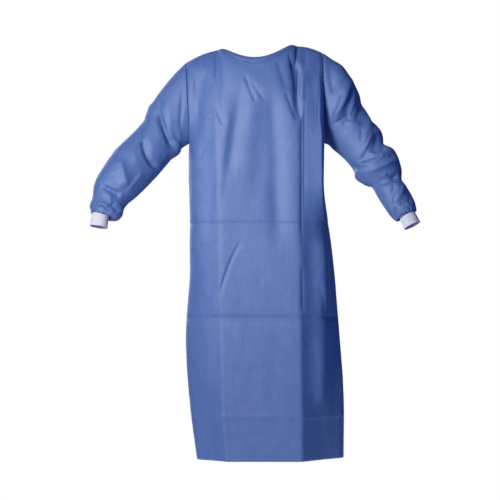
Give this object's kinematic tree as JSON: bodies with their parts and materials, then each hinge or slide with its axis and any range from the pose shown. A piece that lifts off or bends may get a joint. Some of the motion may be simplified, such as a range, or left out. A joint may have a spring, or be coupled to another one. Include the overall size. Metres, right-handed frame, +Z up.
{
  "type": "surgical gown",
  "caption": "Long-sleeved surgical gown in blue nonwoven cloth, hollow in its worn shape, open at neck, hem and wrists, with white knit cuffs and a tied back.",
  "frame": {"origin": "midway between the two points where the shoulder seams meet the neckline, which is where the wearer's shoulders hold the gown", "axes": "+Z up towards the wearer's head, -Y out of the wearer's chest, +X towards the wearer's left hand"},
  "size_m": [0.976, 0.3348, 1.2372],
  "materials": {
    "cloth": "soft matt nonwoven with a point bond",
    "cloth_band": "folded nonwoven strip",
    "rib_knit": "white rib knit"
  },
  "bodies": {
    "root": {"front": "cloth", "back_left": "cloth", "back_right": "cloth", "sleeve_left": "cloth", "sleeve_right": "cloth", "cuff_left": "rib_knit", "cuff_right": "rib_knit", "neck_band": "cloth_band", "neck_tab": "cloth_band", "tie_left": "cloth_band", "tie_right": "cloth_band", "tie_knot": "cloth_band", "tail_left": "cloth_band", "tail_right": "cloth_band"}
  },
  "joints": []
}
